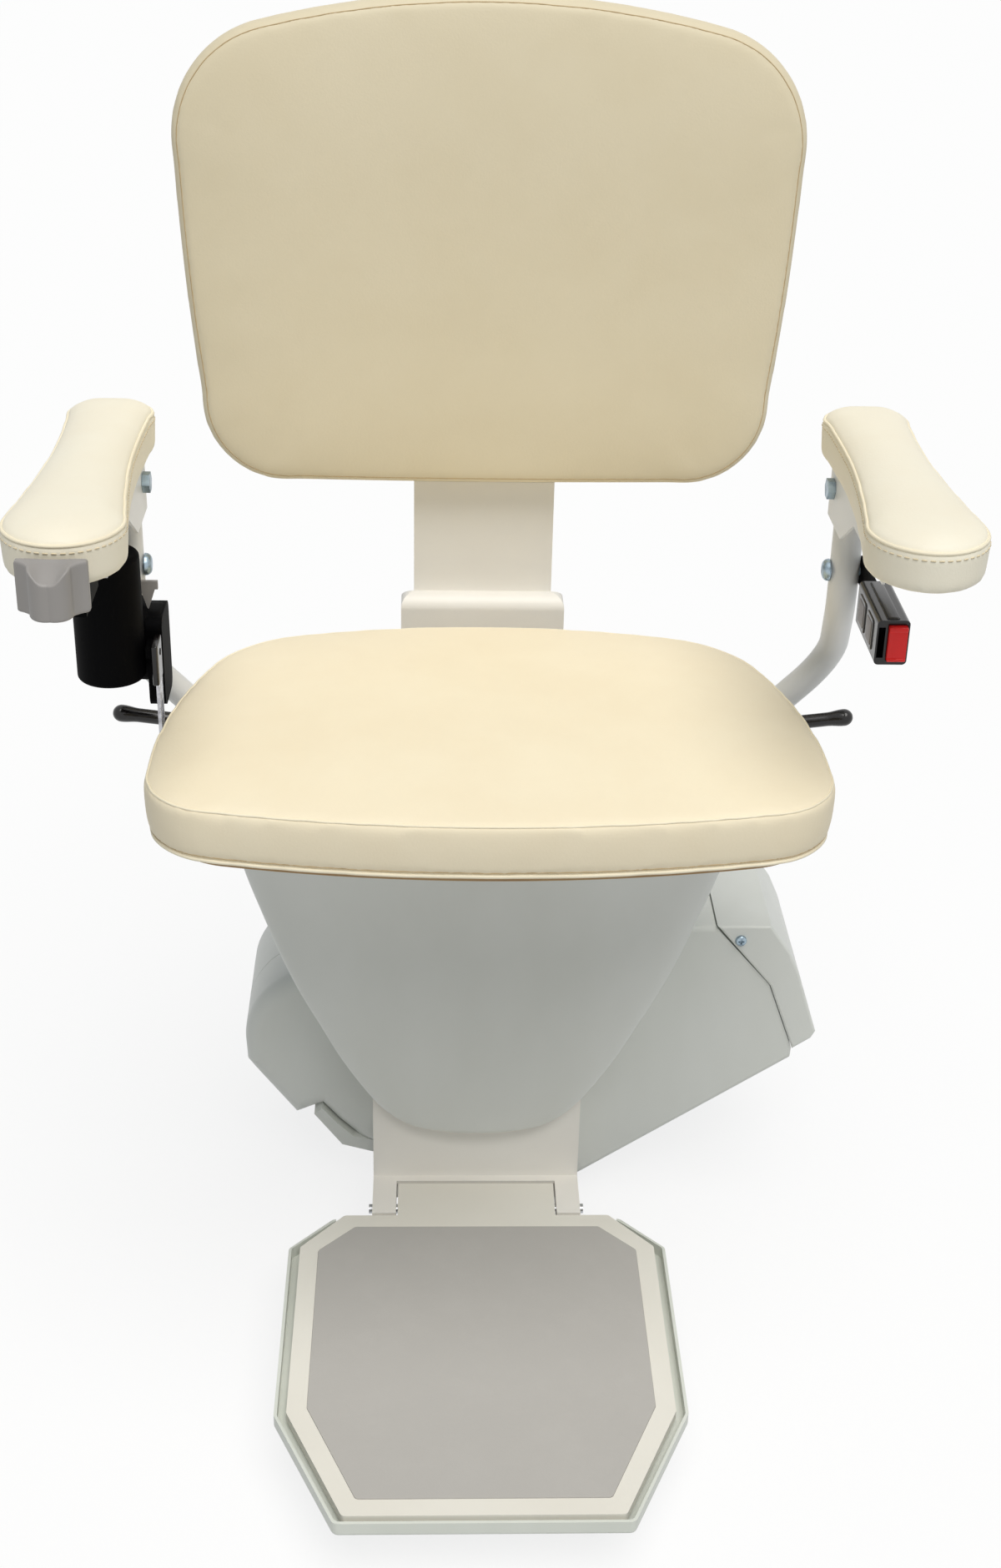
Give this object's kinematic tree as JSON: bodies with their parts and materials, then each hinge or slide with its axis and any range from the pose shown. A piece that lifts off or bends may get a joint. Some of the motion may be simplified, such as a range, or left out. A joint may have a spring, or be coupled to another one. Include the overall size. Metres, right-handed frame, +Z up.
{
  "type": "stairlift chair",
  "caption": "Powered stairlift seat: padded swivel chair with folding seat, arms and footrest on a covered carriage that clamps a slanted rail with rollers and a rack drive.",
  "frame": {"origin": "centre of the slanted rail's section at the middle of the chair, where the carriage rides", "axes": "+X to the viewer's right and up the stairs, +Y back to the wall, +Z up"},
  "size_m": [0.6052, 0.6247, 1.015],
  "materials": {
    "cream_vinyl": "soft grained vinyl over foam, satin",
    "ivory_plastic": "fine grained moulded shell, satin",
    "ivory_paint": "powder coat, semi-gloss",
    "grey_mat": "ribbed anti-slip mat, dull",
    "pan_plastic": "moulded, satin",
    "grey_plastic": "fine grained, satin",
    "black_plastic": "moulded, satin",
    "gloss_black": "moulded, glossy",
    "red_plastic": "moulded, glossy",
    "black_rubber": "moulded grip",
    "black_paint": "powder coat",
    "black_webbing": "woven webbing, wound up",
    "zinc_steel": "zinc plated",
    "bright_steel": "machined",
    "grey_steel": "grey paint",
    "chrome_steel": "polished",
    "cast_aluminium": "as cast",
    "motor_paint": "black paint",
    "battery_case": "moulded",
    "circuit_board": "solder mask",
    "copper": "worn contact faces",
    "plywood": "birch plywood",
    "roller_nylon": "cast nylon"
  },
  "bodies": {
    "carriage": {"chassis_plate": "zinc_steel", "column": "ivory_paint", "gearbox_housing": "cast_aluminium", "drive_motor": "motor_paint", "battery_front": "battery_case", "battery_rear": "battery_case", "control_board": "circuit_board", "charge_contacts": "copper", "roller_axles": "bright_steel", "main_casing": "ivory_plastic", "upper_end_cap": "ivory_plastic", "lower_end_cover": "ivory_plastic", "lower_end_rear_cover": "ivory_plastic", "underside_panel": "ivory_plastic", "cap_screw": "zinc_steel", "front_shroud": "ivory_plastic", "shroud_back_panel": "ivory_plastic", "swivel_lower_plate": "bright_steel", "footrest_hinge_pin": "bright_steel"},
    "roller_top_low": {"roller_top_low": "roller_nylon"},
    "roller_top_high": {"roller_top_high": "roller_nylon"},
    "roller_bottom_low": {"roller_bottom_low": "roller_nylon"},
    "roller_bottom_high": {"roller_bottom_high": "roller_nylon"},
    "drive_pinion": {"drive_pinion": "bright_steel"},
    "footrest": {"footrest_platform": "ivory_paint", "footrest_mat": "grey_mat", "pan_screws": "zinc_steel"},
    "safety_pan": {"footrest_pan": "pan_plastic"},
    "seat_base": {"swivel_bearing": "bright_steel", "swivel_upper_plate": "bright_steel", "seat_frame": "ivory_paint", "seat_hinge_pins": "bright_steel", "back_post": "ivory_paint", "back_post_cover": "ivory_plastic", "back_board": "ivory_plastic", "backrest_cushion": "cream_vinyl", "left_arm_tube": "ivory_paint", "right_arm_tube": "ivory_paint", "arm_pivot_bolts": "zinc_steel", "anchor_bolts": "zinc_steel", "belt_reel_housing": "black_plastic", "belt_reel_bracket": "grey_steel", "buckle_body": "gloss_black", "buckle_strap": "black_plastic", "lever_spring": "bright_steel"},
    "seat": {"seat_board": "plywood", "seat_cushion": "cream_vinyl", "seat_hinge_leaves": "zinc_steel"},
    "left_arm": {"left_arm_bracket": "ivory_paint", "left_arm_pad": "cream_vinyl", "toggle_switch_box": "black_plastic"},
    "right_arm": {"right_arm_bracket": "ivory_paint", "right_arm_pad": "cream_vinyl"},
    "toggle": {"travel_toggle": "grey_plastic"},
    "button": {"buckle_button": "red_plastic"},
    "tongue": {"belt_tongue": "chrome_steel"},
    "spool": {"belt_spool": "black_webbing"},
    "lever": {"swivel_lever": "black_paint", "lock_pawl": "bright_steel", "lever_grips": "black_rubber"}
  },
  "joints": [
    {"name": "roller_top_low_spin", "type": "hinge", "parent": "carriage", "child": "roller_top_low", "pos_m": [-0.11277, 0, 0.01809], "axis": [0, 1, 0], "continuous": true},
    {"name": "roller_top_high_spin", "type": "hinge", "parent": "carriage", "child": "roller_top_high", "pos_m": [0.09366, 0, 0.16263], "axis": [0, 1, 0], "continuous": true},
    {"name": "roller_bottom_low_spin", "type": "hinge", "parent": "carriage", "child": "roller_bottom_low", "pos_m": [0.09475, 0, -0.03071], "axis": [0, 1, 0], "continuous": true},
    {"name": "roller_bottom_high_spin", "type": "hinge", "parent": "carriage", "child": "roller_bottom_high", "pos_m": [0.2381, 0, 0.06967], "axis": [0, 1, 0], "continuous": true},
    {"name": "pinion_spin", "type": "hinge", "parent": "carriage", "child": "drive_pinion", "pos_m": [0.16847, 0, 0.02091], "axis": [0, 1, 0], "continuous": true},
    {"name": "footrest_fold", "type": "hinge", "parent": "carriage", "child": "footrest", "pos_m": [0, -0.25, -0.027], "axis": [-1, 0, 0], "range_deg": [0, 78]},
    {"name": "pan_press", "type": "slide", "parent": "footrest", "child": "safety_pan", "axis": [0, 0, 1], "range_m": [0, 0.004], "stiffness_N_per_m": 400},
    {"name": "seat_swivel", "type": "hinge", "parent": "carriage", "child": "seat_base", "pos_m": [0, -0.25, 0.349], "axis": [0, 0, 1], "range_deg": [-90, 90]},
    {"name": "seat_fold", "type": "hinge", "parent": "seat_base", "child": "seat", "pos_m": [0, -0.203, 0.421], "axis": [-1, 0, 0], "range_deg": [0, 80]},
    {"name": "left_arm_fold", "type": "hinge", "parent": "seat_base", "child": "left_arm", "pos_m": [-0.254, -0.27, 0.629], "axis": [-1, 0, 0], "range_deg": [0, 90]},
    {"name": "right_arm_fold", "type": "hinge", "parent": "seat_base", "child": "right_arm", "pos_m": [0.254, -0.27, 0.629], "axis": [-1, 0, 0], "range_deg": [0, 90]},
    {"name": "toggle_rock", "type": "hinge", "parent": "left_arm", "child": "toggle", "pos_m": [-0.264, -0.488, 0.628], "axis": [0, 0, 1], "range_deg": [-12, 12], "stiffness_Nm_per_rad": 0.3},
    {"name": "button_press", "type": "slide", "parent": "seat_base", "child": "button", "axis": [0, 1, 0], "range_m": [0, 0.004], "stiffness_N_per_m": 800, "springref_m": -0.002},
    {"name": "tongue_swing", "type": "hinge", "parent": "seat_base", "child": "tongue", "pos_m": [-0.2318, -0.313, 0.52], "axis": [-1, 0, 0], "range_deg": [0, 30]},
    {"name": "spool_turn", "type": "hinge", "parent": "seat_base", "child": "spool", "pos_m": [-0.265, -0.31, 0.546], "axis": [0, 0, 1], "continuous": true},
    {"name": "swivel_release", "type": "hinge", "parent": "seat_base", "child": "lever", "pos_m": [0, -0.222, 0.4], "axis": [1, 0, 0], "range_deg": [-20, 0], "stiffness_Nm_per_rad": 0.8, "springref_deg": -37.24}
  ]
}
